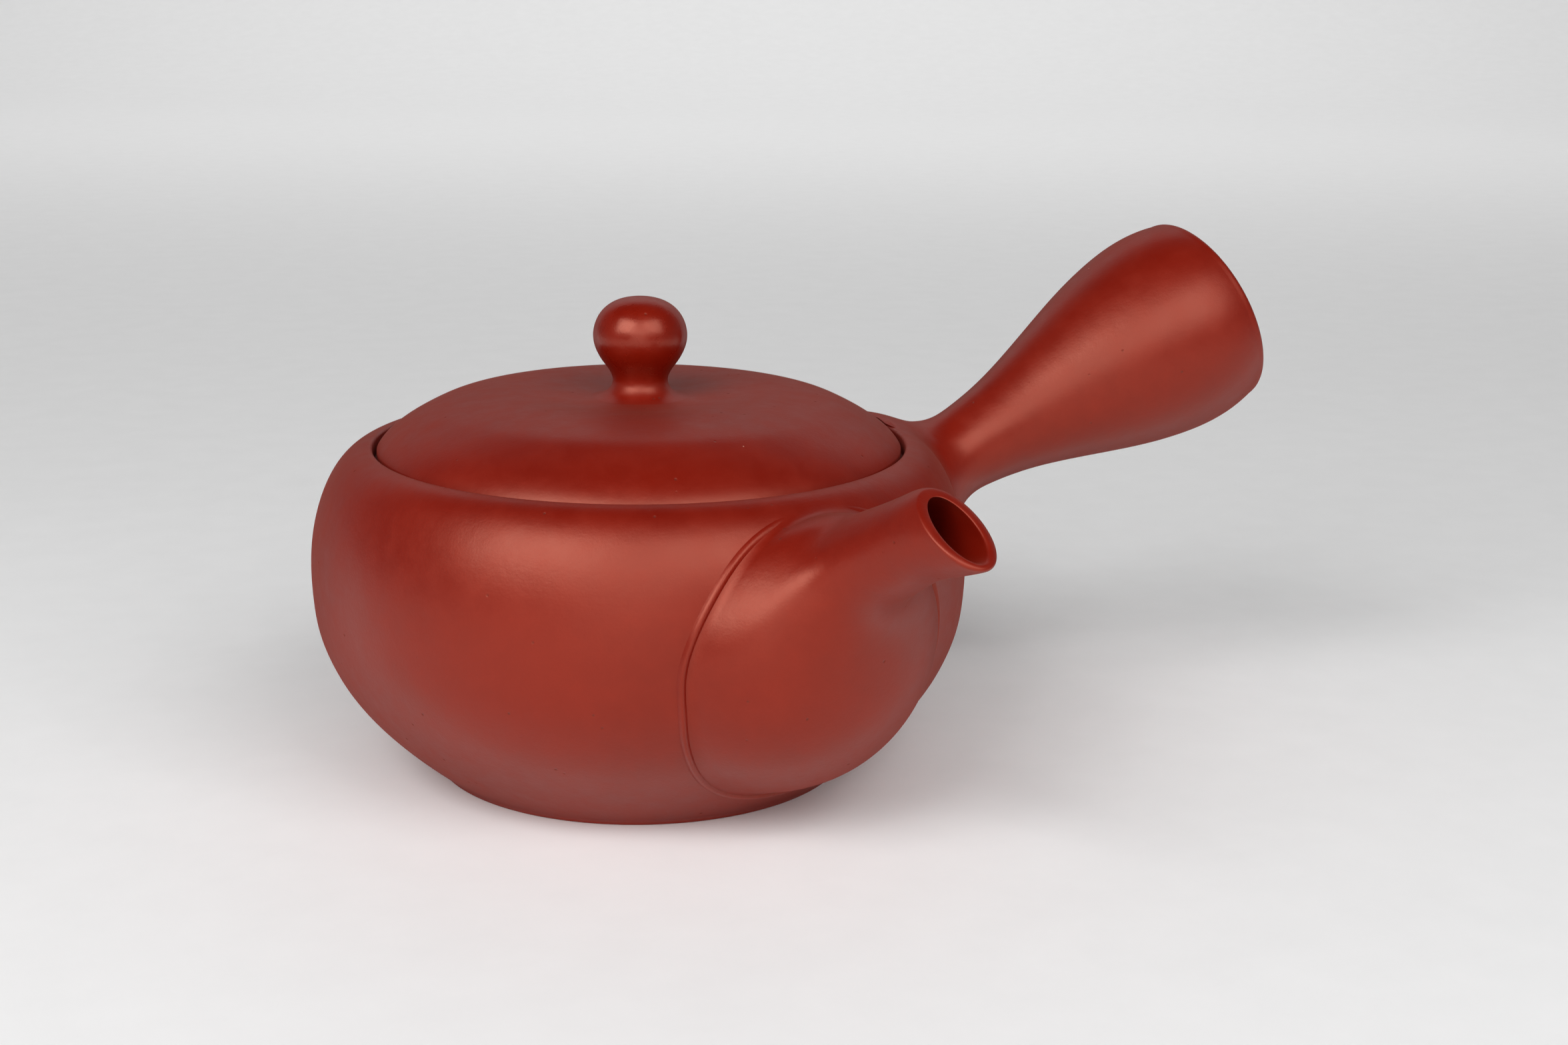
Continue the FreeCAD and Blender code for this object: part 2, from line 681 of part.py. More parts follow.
doc = FreeCAD.newDocument("Teapot")
dimensions = doc.addObject("Spreadsheet::Sheet", "Dimensions")
size = fill_sheet(dimensions)
doc.recompute()
ZERO = as_size(0)

check_and_export([
    make_pot_body(),
    make_spout(),
    make_spout_seam(),
    make_strainer(),
    make_strainer_seam(),
    make_handle(),
    make_lid(),
    make_knob(),
])
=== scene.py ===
import math

import bmesh
import bpy
import numpy as np
from mathutils import Matrix, Vector
from mathutils.bvhtree import BVHTree


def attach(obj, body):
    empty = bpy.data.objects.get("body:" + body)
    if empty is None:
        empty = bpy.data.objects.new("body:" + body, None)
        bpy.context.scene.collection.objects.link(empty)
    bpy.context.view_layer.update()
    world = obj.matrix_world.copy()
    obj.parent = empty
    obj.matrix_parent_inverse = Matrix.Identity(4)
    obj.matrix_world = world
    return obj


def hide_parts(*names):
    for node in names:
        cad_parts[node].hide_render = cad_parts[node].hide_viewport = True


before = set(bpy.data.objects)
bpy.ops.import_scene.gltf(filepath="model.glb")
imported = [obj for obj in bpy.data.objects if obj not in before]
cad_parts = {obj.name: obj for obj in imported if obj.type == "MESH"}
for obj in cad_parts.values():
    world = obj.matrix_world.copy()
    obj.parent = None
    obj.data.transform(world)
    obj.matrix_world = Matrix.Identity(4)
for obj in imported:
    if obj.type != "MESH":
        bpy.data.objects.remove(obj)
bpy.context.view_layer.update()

# The clay pieces are turned or lofted again from the part's own driving sizes, far
# finer than the CAD meshes, and their joints are worked soft as wet clay would be.
# Sizes and outlines are in millimetres, and MM brings each mesh to the frame's metres.
# Lights and camera are in metres.
MM = 0.001

# ------------------------------------------------------------------ driving sizes
RIM_RADIUS = 43.6
RIM_OUTSIDE = 44.3
RIM_HEIGHT = 54.0
LEDGE_HEIGHT = 51.2
THROAT_RADIUS = 40.0
THROAT_UNDER = 48.8
FLOOR_HEIGHT = 4.6
FOOT_RADIUS = 34.6
FOOT_INSIDE = 29.6
FOOT_RECESS = 1.2
FOOT_CHAMFER = (1.2, 0.3, 0.3)  # from the ring's inside at the recess, and at the edge, up
CORNER = 0.5                    # radius of a rounded clay edge
LEDGE_CORNER = 0.3
BOWL_OUTSIDE = [(35.1, 1.0), (46.1, 9.7), (52.9, 21.1), (54.0, 29.3), (54.3, 42.5),
                (48.9, 53.3), (RIM_OUTSIDE, RIM_HEIGHT)]
BOWL_INSIDE = [(30.5, FLOOR_HEIGHT), (43.0, 11.0), (50.0, 21.8), (50.9, 29.5),
               (51.3, 40.5), (47.2, 48.8), (THROAT_RADIUS, THROAT_UNDER)]

SPOUT_TURN = math.radians(-79.0)
# Sections of the spout in its own upright plane: top and bottom as (out, up), half the
# width across, the thickness of the clay, and how far its upper half is drawn in.
SPOUT_SECTIONS = [
    ((44.0, 50.3), (38.0, 5.0), 26.6, 2.8, 0.0),
    ((50.5, 52.0), (50.0, 9.6), 22.1, 2.8, 0.1),
    ((55.0, 53.0), (59.5, 21.5), 15.5, 2.7, 0.3),
    ((58.8, 54.1), (63.2, 37.7), 9.0, 2.3, 0.24),
    ((64.2, 56.5), (70.4, 44.4), 6.7, 2.0, 0.1),
    ((70.0, 59.3), (76.9, 48.2), 5.8, 1.7, 0.0),
    ((73.6, 60.5), (86.6, 51.7), 4.9, 1.6, 0.0),
]
POURING_HOLE = (15.5, 26.0)     # radius and height of its level axis
POURING_CUT = (45.0, 30.0)      # middle and length of the cut through the wall

HANDLE_TILT = math.radians(24.0)
HANDLE_AXIS_HEIGHT = 20.0
HANDLE_OUTSIDE = [(45.0, 19.5), (54.6, 13.2), (61.8, 7.2), (68.5, 7.6), (78.0, 9.1),
                  (92.0, 13.9), (104.1, 17.8), (115.5, 19.2), (121.3, 17.4)]
HANDLE_INSIDE = [(121.3, 14.4), (112.0, 16.6), (101.0, 13.6), (89.0, 9.0), (78.0, 5.6),
                 (71.0, 4.4), (68.0, 4.4), (68.0, 0.0)]

LID_RADIUS = 42.9
LID_EDGE_HEIGHT = 53.5
LID_PAD = (7.5, 61.5)
LID_TOP = [(LID_RADIUS, LID_EDGE_HEIGHT), (41.6, 55.9), (34.5, 60.0), (30.7, 61.4),
           (20.3, 62.7), (14.9, 61.8), LID_PAD]
LID_UNDERSIDE = [(8.0, 58.4), (24.0, 59.6), (34.0, 57.0), (36.5, 54.0)]
FLANGE = (39.3, 36.5, 44.2)     # outside, inside, bottom
FLANGE_CORNER = 0.8
VENT = (1.6, 13.5, math.radians(69.0))          # radius, distance from the axis, heading
VENT_CUT = (60.5, 11.0)         # middle and length of the cut through the lid

KNOB_OUTSIDE = [(8.4, -0.05), (6.1, 0.2), (4.9, 1.2), (4.2, 2.9), (5.5, 5.1), (6.85, 6.65),
                (8.6, 11.3), (5.0, 16.35), (0.0, 16.35)]

# How softly the joints are worked: the reach of the fillet between two forms.
HANDLE_REACH = 3.4
SPOUT_REACH = (0.9, 1.8)        # at the foot, and at the shoulder
SHOULDER = (49.0, 53.5)         # heights between which the spout's fillet widens
BURIED = 1.4                    # how deep in the bowl's wall a fitted shell begins
BOWL_MOVES = (-0.6, 2.5)        # how far the bowl's points may move, inwards and outwards
SPOUT_MOVES = (-1.6, 2.6)
HANDLE_MOVES = (-1.6, 2.2)
NEAR_BOWL = 7.0                 # how near the bowl a shell's points are worked

# Where on the bowl each joint may be: beyond a distance out and within a radius.
HANDLE_ZONE = (30, 24)
SPOUT_ZONE = (20, 31)
SPOUT_ZONE_HEIGHT = 28.7

# The worked bead round the foot of the spout.
BEAD_OFFSET = 1.05
BEAD_HALF_WIDTH = 0.82
BEAD_RISE = 0.56
BEAD_FADE = (51.5, 9.0)         # the height where it has faded out, and over how much
BEAD_WANDER = (14, 0.12)        # humps, and how far they go
BEAD_UNEVEN = (22, 0.07)
BEAD_SEED = 7


# ------------------------------------------------------------------ curves
def smooth_curve(poles, count):
    """Points along a clamped cubic curve on control points."""
    poles = np.array(poles, float)
    knots = np.concatenate([np.zeros(3), np.linspace(0, 1, len(poles) - 2), np.ones(3)])
    u = np.linspace(0, 1 - 1e-9, count)[:, None]
    basis = ((knots[:-1] <= u) & (u < knots[1:])).astype(float)
    for degree in (1, 2, 3):
        low, high = knots[:-degree - 1], knots[degree:-1]
        rising = (u - low) / np.where(high > low, high - low, 1)
        low, high = knots[1:-degree], knots[degree + 1:]
        falling = (high - u) / np.where(high > low, high - low, 1)
        basis = rising * basis[:, :-1] + falling * basis[:, 1:]
    return basis @ poles


def natural_spline(values, stations, where):
    """A smooth curve through rows of values at stations, read at other places."""
    gaps = np.diff(stations)
    count = len(stations)
    matrix = np.eye(count)
    right = np.zeros_like(values)
    for i in range(1, count - 1):
        matrix[i, i - 1:i + 2] = gaps[i - 1], 2 * (gaps[i - 1] + gaps[i]), gaps[i]
        right[i] = 6 * ((values[i + 1] - values[i]) / gaps[i]
                        - (values[i] - values[i - 1]) / gaps[i - 1])
    bend = np.linalg.solve(matrix, right)
    span = np.clip(np.searchsorted(stations, where) - 1, 0, count - 2)
    gap = gaps[span][:, None]
    after = (where - stations[span])[:, None]
    before = gap - after
    return (bend[span] * before ** 3 + bend[span + 1] * after ** 3) / (6 * gap) \
        + (values[span] / gap - bend[span] * gap / 6) * before \
        + (values[span + 1] / gap - bend[span + 1] * gap / 6) * after


def arc(centre, radius, start, end, count=9):
    """Points along an arc, with its angles in degrees."""
    angles = np.radians(np.linspace(start, end, count))
    return np.c_[centre[0] + radius * np.cos(angles), centre[1] + radius * np.sin(angles)]


def join(*runs):
    """One outline from several runs, without repeated points."""
    points = np.vstack([np.atleast_2d(np.array(run, float)) for run in runs])
    keep = np.r_[True, np.hypot(*np.diff(points, axis=0).T) > 1e-6]
    return points[keep]


def refine(points, step):
    """Add points along an outline so that no gap is over a step."""
    dense = [points[0]]
    for start, end in zip(points, points[1:]):
        parts = max(1, int(math.ceil(np.hypot(*(end - start)) / step)))
        dense += [start + (end - start) * k / parts for k in range(1, parts + 1)]
    return np.array(dense)


# ------------------------------------------------------------------ outlines
bowl_outside = smooth_curve(BOWL_OUTSIDE, 240)
handle_outside = smooth_curve(HANDLE_OUTSIDE, 260)


def bowl_outline():
    """Half the bowl's section, from its middle underneath round to its middle inside."""
    recess_in, edge_in, edge_up = FOOT_CHAMFER
    ledge_up, ledge_down = LEDGE_HEIGHT + LEDGE_CORNER, LEDGE_HEIGHT - LEDGE_CORNER
    return join(
        [(0, FOOT_RECESS), (FOOT_INSIDE - recess_in, FOOT_RECESS), (FOOT_INSIDE - edge_in, edge_up)],
        arc((FOOT_INSIDE + CORNER, CORNER), CORNER, 200, 270),
        arc((FOOT_RADIUS - CORNER, CORNER), CORNER, 270, 350),
        bowl_outside,
        arc((RIM_RADIUS + CORNER, RIM_HEIGHT - CORNER), CORNER, 90, 180),
        [(RIM_RADIUS, ledge_up)],
        arc((RIM_RADIUS - LEDGE_CORNER, ledge_up), LEDGE_CORNER, 0, -90),
        arc((THROAT_RADIUS + LEDGE_CORNER, ledge_down), LEDGE_CORNER, 90, 180),
        smooth_curve(list(reversed(BOWL_INSIDE)), 90),
        [(0, FLOOR_HEIGHT)])


def lid_outline():
    """Half the lid's section, from the middle of its top round to its middle underneath."""
    outside, inside, bottom = FLANGE
    return join(
        [(0, LID_PAD[1]), LID_PAD], smooth_curve(list(reversed(LID_TOP)), 170),
        arc((LID_RADIUS - CORNER, LEDGE_HEIGHT + CORNER), CORNER, 0, -90),
        arc((outside + LEDGE_CORNER, LEDGE_HEIGHT - LEDGE_CORNER), LEDGE_CORNER, 90, 180),
        arc((outside - FLANGE_CORNER, bottom + FLANGE_CORNER), FLANGE_CORNER, 0, -90),
        arc((inside + CORNER, bottom + CORNER), CORNER, 270, 180),
        smooth_curve(list(reversed(LID_UNDERSIDE)), 50),
        [(0, LID_UNDERSIDE[0][1])])


def knob_outline():
    """Half the knob's section, from the middle of its foot to the middle of its top."""
    return join([(0, 0)], smooth_curve(KNOB_OUTSIDE, 160))


def rounded_rim(outer, inner, crown, count=15, fullness=0.85):
    """Points over a rounded edge, from its outside over its crown to its inside."""
    middle, half = (outer + inner) / 2, (outer - inner) / 2
    rows = []
    for angle in np.linspace(0, math.pi, count):
        across = math.copysign(abs(math.cos(angle)) ** fullness, math.cos(angle))
        rows.append(middle + half * across + (crown - middle) * math.sin(angle) ** fullness)
    return np.array(rows)


# ------------------------------------------------------------------ meshes
def new_object(name, verts, faces):
    """A mesh object in the scene."""
    mesh = bpy.data.meshes.new(name)
    mesh.from_pydata([tuple(v) for v in verts], [], faces)
    mesh.validate()
    mesh.update()
    piece = bpy.data.objects.new(name, mesh)
    bpy.context.scene.collection.objects.link(piece)
    return piece


def finish_mesh(piece, sharp_degrees=38):
    """Merge poles, point the normals outwards and shade smooth."""
    bm = bmesh.new()
    bm.from_mesh(piece.data)
    bmesh.ops.remove_doubles(bm, verts=bm.verts, dist=1e-7)
    bmesh.ops.dissolve_degenerate(bm, edges=bm.edges, dist=1e-8)
    bmesh.ops.recalc_face_normals(bm, faces=bm.faces)
    bm.to_mesh(piece.data)
    bm.free()
    piece.data.shade_smooth()
    piece.data.set_sharp_from_angle(angle=math.radians(sharp_degrees))


def grid_faces(rows, columns, wrap=True):
    """Faces of a grid of points; wrap joins the last column to the first."""
    faces = []
    last = columns if wrap else columns - 1
    for row in range(rows - 1):
        for column in range(last):
            after = (column + 1) % columns
            faces.append((row * columns + column, row * columns + after,
                          (row + 1) * columns + after, (row + 1) * columns + column))
    return faces


def turned(outline, angles):
    """Points of an outline (radius, height) turned about Z, one row for each point."""
    radius, height = outline.T
    return np.stack([radius[:, None] * np.cos(angles), radius[:, None] * np.sin(angles),
                     np.repeat(height[:, None], len(angles), axis=1)], axis=-1)


def even_angles(count):
    """Angles round a circle, the same distance apart."""
    return np.linspace(0, 2 * math.pi, count, endpoint=False)


def angles_with_detail(count, places, extra=2.2, blend=math.radians(3)):
    """Angles round a circle, closer together near each (middle, half width) place."""
    fine = np.linspace(-math.pi, math.pi, 7201)
    density = np.ones_like(fine)
    for middle, half in places:
        away = np.abs((fine - middle + math.pi) % (2 * math.pi) - math.pi)
        density += extra / (1 + np.exp((away - half) / blend))
    total = np.concatenate([[0], np.cumsum((density[1:] + density[:-1]) / 2)])
    total /= total[-1]
    return np.interp(np.arange(count) / count, total, fine)


# ------------------------------------------------------------------ distances
def side_distance(points, line, batch=20000):
    """Signed distance from 2-D points to an open outline: positive on its left."""
    starts, ends = line[:-1], line[1:]
    run = ends - starts
    length = (run ** 2).sum(1)
    best = np.full(len(points), np.inf)
    sign = np.ones(len(points))
    for begin in range(0, len(points), batch):
        part = points[begin:begin + batch]
        to = part[:, None] - starts
        along = np.clip((to * run).sum(-1) / length, 0, 1)
        away = to - along[..., None] * run
        squared = (away ** 2).sum(-1)
        nearest = squared.argmin(1)
        rows = np.arange(len(part))
        best[begin:begin + batch] = np.sqrt(squared[rows, nearest])
        cross = run[nearest, 0] * away[rows, nearest, 1] - run[nearest, 1] * away[rows, nearest, 0]
        sign[begin:begin + batch] = np.where(cross >= 0, 1, -1)
    return best * sign


def outside_bowl(points):
    """Distance outside the bowl's outer surface."""
    flat = np.c_[np.hypot(points[:, 0], points[:, 1]), points[:, 2]]
    return -side_distance(flat, bowl_outside[::3])


def in_handle_frame(points):
    """Distance along the handle's axis and away from it."""
    x, up = points[:, 0], points[:, 2] - HANDLE_AXIS_HEIGHT
    along = x * math.cos(HANDLE_TILT) + up * math.sin(HANDLE_TILT)
    across = -x * math.sin(HANDLE_TILT) + up * math.cos(HANDLE_TILT)
    return np.c_[along, np.hypot(across, points[:, 1])]


def outside_handle(points):
    """Distance outside the handle, taken as solid."""
    return side_distance(in_handle_frame(points), handle_outside[::3])


def rounded_union(first, second, reach):
    """The joined surface of two distances, with a soft fillet of that reach."""
    mix = np.maximum(reach - np.abs(first - second), 0) / reach
    return np.minimum(first, second) - mix ** 2 * reach / 4


def settle(points, normals, own, other, reach, deepest, highest, sink=0.15, halvings=13):
    """Points moved along their normals onto the soft union of two clay forms.

    Where the other form is the outer one, the points sink a little below its surface.
    Points far inside the other form go straight to the deepest place.
    """
    beyond_fillet, well_inside = 1.0, 2.0
    result = points.copy()
    apart = other(points)
    covered = apart <= deepest - well_inside
    result[covered] += normals[covered] * deepest
    band = (apart < reach(points) + beyond_fillet) & ~covered
    points, normals = points[band], normals[band]
    low = np.full(len(points), deepest, float)
    high = np.full(len(points), highest, float)
    for _ in range(halvings):
        middle = (low + high) / 2
        there = points + normals * middle[:, None]
        mine, theirs = own(there), other(there)
        height = rounded_union(mine, theirs, reach(there)) + sink * np.maximum(mine - theirs, 0) ** 2
        low = np.where(height < 0, middle, low)
        high = np.where(height < 0, high, middle)
    result[band] = points + normals * ((low + high) / 2)[:, None]
    return result


def row_normals(outline):
    """Outward normals of an outline whose solid lies on its left."""
    tangent = np.gradient(outline, axis=0)
    tangent /= np.hypot(*tangent.T)[:, None]
    return np.c_[tangent[:, 1], -tangent[:, 0]]


# ------------------------------------------------------------------ spout form
def spout_grid(rows, columns, wall=0.0, start=0.0):
    """Points of the spout's surface, drawn along +X and then turned to its place."""
    table = []
    for top, bottom, half_width, thickness, drawn_in in SPOUT_SECTIONS:
        top, bottom = np.array(top), np.array(bottom)
        lean = top - bottom
        table.append([*((top + bottom) / 2), math.atan2(lean[0], lean[1]),
                      half_width - wall * thickness, np.hypot(*lean) / 2 - wall * thickness,
                      drawn_in])
    table = np.array(table)
    stations = np.r_[0, np.cumsum(np.hypot(*np.diff(table[:, :2], axis=0).T))]
    where = np.linspace(start * stations[-1], stations[-1], rows)
    out, up, lean, half_width, half_height, drawn_in = natural_spline(table, stations, where).T
    angle = even_angles(columns)
    narrowing = 1 - drawn_in[:, None] * np.maximum(np.sin(angle), 0) ** 2
    across = half_width[:, None] * np.cos(angle) * narrowing
    rise = half_height[:, None] * np.sin(angle)
    flat = np.stack([out[:, None] + rise * np.sin(lean)[:, None], across,
                     up[:, None] + rise * np.cos(lean)[:, None]], axis=-1)
    return turn_about_z(flat, SPOUT_TURN)


def turn_about_z(points, angle):
    """Points turned about the pot's upright axis."""
    cosine, sine = math.cos(angle), math.sin(angle)
    x, y, z = np.moveaxis(points, -1, 0)
    return np.stack([x * cosine - y * sine, x * sine + y * cosine, z], axis=-1)


def closed_tree(grid):
    """A search tree of a tube of points with both ends closed by a fan."""
    rows, columns = grid.shape[:2]
    verts = [tuple(v) for v in grid.reshape(-1, 3)]
    faces = grid_faces(rows, columns)
    for row in (0, rows - 1):
        verts.append(tuple(grid[row].mean(0)))
        centre = len(verts) - 1
        for column in range(columns):
            pair = (row * columns + column, row * columns + (column + 1) % columns)
            faces.append((pair[1], pair[0], centre) if row == 0 else (*pair, centre))
    mesh = bmesh.new()
    made = [mesh.verts.new(v) for v in verts]
    for face in faces:
        mesh.faces.new([made[i] for i in face])
    bmesh.ops.recalc_face_normals(mesh, faces=mesh.faces)
    tree = BVHTree.FromBMesh(mesh)
    mesh.free()
    return tree


def solid_spout(carried_on=14.0):
    """The spout's surface, carried on straight into the bowl behind its first section."""
    grid = spout_grid(120, 160)
    back = turn_about_z(np.array([-carried_on, 0.0, 0.0]), SPOUT_TURN)
    return np.concatenate([grid[:1] + back, grid])


spout_tree = closed_tree(solid_spout())


def outside_spout(points):
    """Distance outside the spout, taken as solid."""
    result = np.empty(len(points))
    for i, point in enumerate(points):
        place, normal, _, distance = spout_tree.find_nearest(Vector(point))
        away = Vector(point) - place
        result[i] = distance if away.dot(normal) >= 0 else -distance
    return result


# ------------------------------------------------------------------ softness of the joints
def handle_reach(points):
    """The handle is worked into the shoulder with a wide, soft fillet."""
    return np.full(len(points), HANDLE_REACH)


def spout_reach(points):
    """The spout's joint is crisp low down and smoothed away at the shoulder."""
    start, end = SHOULDER
    crisp, soft = SPOUT_REACH
    rise = np.clip((points[:, 2] - start) / (end - start), 0, 1)
    return crisp + (soft - crisp) * rise ** 2 * (3 - 2 * rise)


# ------------------------------------------------------------------ pieces
def make_bowl():
    """The thrown bowl, drawn up into soft fillets where the handle and spout join it."""
    outline = refine(bowl_outline(), 2.0)
    angles = angles_with_detail(700, [(SPOUT_TURN, math.radians(36)), (0.0, math.radians(28))])
    grid = turned(outline, angles)
    normals = turned(row_normals(outline), angles)
    shape = grid.shape
    points, normals = grid.reshape(-1, 3), normals.reshape(-1, 3)
    outer = np.repeat(np.abs(side_distance(outline, bowl_outside)) < 0.05, shape[1])
    for near, other, reach in ((handle_zone, outside_handle, handle_reach),
                               (spout_zone, outside_spout, spout_reach)):
        chosen = np.flatnonzero(outer & near(points))
        points[chosen] = settle(points[chosen], normals[chosen], outside_bowl, other,
                                reach, *BOWL_MOVES)
    piece = new_object("bowl", points * MM, grid_faces(*shape[:2]))
    finish_mesh(piece)
    radius, height = POURING_HOLE
    out, length = POURING_CUT
    middle = Vector((out * math.cos(SPOUT_TURN), out * math.sin(SPOUT_TURN), height))
    cut_round_hole(piece, radius, middle, length, (0, math.pi / 2, SPOUT_TURN))
    return piece


def handle_zone(points):
    """Which points are near enough to the handle to be moved by it."""
    out, radius = HANDLE_ZONE
    along, away = in_handle_frame(points).T
    return (along > out) & (away < radius)


def spout_zone(points):
    """Which points are near enough to the spout to be moved by it."""
    out, radius = SPOUT_ZONE
    x, y, z = turn_about_z(points, -SPOUT_TURN).T
    return (x > out) & (np.hypot(y, z - SPOUT_ZONE_HEIGHT) < radius)


def cut_round_hole(piece, radius, middle, length, rotation):
    """Cut a round hole through a piece, about the middle of the cut."""
    bpy.ops.mesh.primitive_cylinder_add(vertices=96, radius=radius * MM, depth=length * MM,
                                        location=middle * MM, rotation=rotation)
    cutter = bpy.context.object
    cut = piece.modifiers.new("hole", "BOOLEAN")
    cut.operation = "DIFFERENCE"
    cut.object = cutter
    cut.solver = "EXACT"
    apply_modifiers(piece)
    bpy.data.objects.remove(cutter, do_unlink=True)


def apply_modifiers(piece):
    """Give a piece its evaluated mesh, and no modifiers."""
    depsgraph = bpy.context.evaluated_depsgraph_get()
    mesh = bpy.data.meshes.new_from_object(piece.evaluated_get(depsgraph))
    piece.modifiers.clear()
    piece.data = mesh


def first_row_inside(lines, distance, depth):
    """For each line of points, the last place along it that is at a depth in a form."""
    rows, columns = lines.shape[:2]
    values = distance(lines.reshape(-1, 3)).reshape(rows, columns)
    starts = np.zeros(columns)
    for column in range(columns):
        below = np.flatnonzero(values[:, column] < -depth)
        last = below[-1] if len(below) else 0
        low, high = values[last, column], values[min(last + 1, rows - 1), column]
        starts[column] = last + np.clip((-depth - low) / max(high - low, 1e-9), 0, 1)
    return starts


def restart_rows(lines, starts, rows, crowd=1.6):
    """Resample each line of points so that it begins at its own start."""
    count = lines.shape[0]
    share = np.linspace(0, 1, rows) ** crowd
    result = np.empty((rows, lines.shape[1], 3))
    for column, start in enumerate(starts):
        where = start + (count - 1 - start) * share
        low = np.minimum(where.astype(int), count - 2)
        part = (where - low)[:, None]
        result[:, column] = lines[low, column] * (1 - part) + lines[low + 1, column] * part
    return result


def make_spout():
    """The spout as a shell, open at the lip and ending in the bowl's wall."""
    outside = spout_grid(400, 288)
    starts = first_row_inside(outside, outside_bowl, BURIED)
    outside = restart_rows(outside, starts, 230)
    shape = outside.shape
    points = outside.reshape(-1, 3)
    normals = surface_normals(outside).reshape(-1, 3)
    chosen = np.flatnonzero(outside_bowl(points) < NEAR_BOWL)
    points[chosen] = settle(points[chosen], normals[chosen], outside_spout, outside_bowl,
                            spout_reach, *SPOUT_MOVES)
    outside = points.reshape(shape)
    inside = spout_grid(400, 288, wall=1.0)
    starts = first_row_inside(inside, outside_bowl, BURIED)
    inside = restart_rows(inside, starts, 90, crowd=1.0)
    crown = (outside[-1] + inside[-1]) / 2
    rim = rounded_rim(outside[-3], inside[-2], crown)[::-1]
    grid = np.concatenate([inside[:-2], rim, outside[:-3][::-1]])
    piece = new_object("spout_shell", grid.reshape(-1, 3) * MM, closed_ring_faces(grid))
    finish_mesh(piece, sharp_degrees=60)
    return piece


def closed_ring_faces(grid):
    """Faces of a grid whose last row also meets its first: a tube with a wall."""
    rows, columns = grid.shape[:2]
    faces = grid_faces(rows, columns)
    for column in range(columns):
        after = (column + 1) % columns
        faces.append(((rows - 1) * columns + column, (rows - 1) * columns + after, after, column))
    return faces


def surface_normals(grid):
    """Outward normals of a tube of points, found from its neighbours."""
    down = np.gradient(grid, axis=0)
    around = np.roll(grid, -1, axis=1) - np.roll(grid, 1, axis=1)
    normal = np.cross(around, down)
    normal /= np.maximum(np.linalg.norm(normal, axis=-1, keepdims=True), 1e-12)
    outward = grid - grid.mean(axis=1, keepdims=True)
    if (normal * outward).sum() < 0:
        normal = -normal
    return normal


def handle_points(outline, angles):
    """Points of an outline (along, away) turned about the handle's tilted axis."""
    along, away = outline.T
    along = along[:, None]
    across = away[:, None] * np.cos(angles)
    rise = away[:, None] * np.sin(angles)
    cosine, sine = math.cos(HANDLE_TILT), math.sin(HANDLE_TILT)
    return np.stack([along * cosine - rise * sine, across,
                     HANDLE_AXIS_HEIGHT + along * sine + rise * cosine], axis=-1)


def make_handle():
    """The hollow handle, closed in the bowl's wall and open at its far end."""
    angles = even_angles(224)
    outside = handle_points(handle_outside, angles)
    starts = first_row_inside(outside, outside_bowl, BURIED)
    outside = restart_rows(outside, starts, 240, crowd=1.3)
    shape = outside.shape
    points = outside.reshape(-1, 3)
    normals = surface_normals(outside).reshape(-1, 3)
    chosen = np.flatnonzero(outside_bowl(points) < NEAR_BOWL)
    points[chosen] = settle(points[chosen], normals[chosen], outside_handle, outside_bowl,
                            handle_reach, *HANDLE_MOVES)
    outside = points.reshape(shape)
    end = HANDLE_OUTSIDE[-1][0]
    outer_back = handle_outside[handle_outside[:, 0] < end - 1.0][-1]
    hollow = smooth_curve(HANDLE_INSIDE, 120)
    hollow = hollow[hollow[:, 0] < end - 1.5]
    crown = np.array([end, (outer_back[1] + hollow[0][1]) / 2])
    inside = handle_points(join(rounded_rim(outer_back, hollow[0], crown), hollow), angles)
    keep = int(np.searchsorted(handle_along(outside), outer_back[0] - 0.1))
    grid = np.concatenate([outside[:keep], inside])
    root = np.repeat(outside[0].mean(0)[None, None], len(angles), axis=1)
    grid = np.concatenate([root, grid])
    piece = new_object("handle_shell", grid.reshape(-1, 3) * MM, grid_faces(*grid.shape[:2]))
    finish_mesh(piece, sharp_degrees=60)
    return piece


def handle_along(grid):
    """How far along the handle each row of a grid lies, on average."""
    flat = in_handle_frame(grid.reshape(-1, 3))[:, 0]
    return flat.reshape(grid.shape[:2]).mean(1)


def make_lid():
    """The turned lid with its flange, cut by the steam hole."""
    outline = refine(lid_outline(), 1.5)
    grid = turned(outline, even_angles(420))
    piece = new_object("lid_shell", grid.reshape(-1, 3) * MM, grid_faces(*grid.shape[:2]))
    finish_mesh(piece)
    radius, distance, turn = VENT
    level, length = VENT_CUT
    middle = Vector((distance * math.cos(turn), distance * math.sin(turn), level))
    cut_round_hole(piece, radius, middle, length, (0, 0, 0))
    piece.data.shade_smooth()
    piece.data.set_sharp_from_angle(angle=math.radians(38))
    return piece


def make_knob():
    """The turned knob, standing on the lid's pad."""
    outline = knob_outline() + np.array([0, LID_PAD[1]])
    grid = turned(outline, even_angles(200))
    piece = new_object("knob_turned", grid.reshape(-1, 3) * MM, grid_faces(*grid.shape[:2]))
    finish_mesh(piece)
    return piece


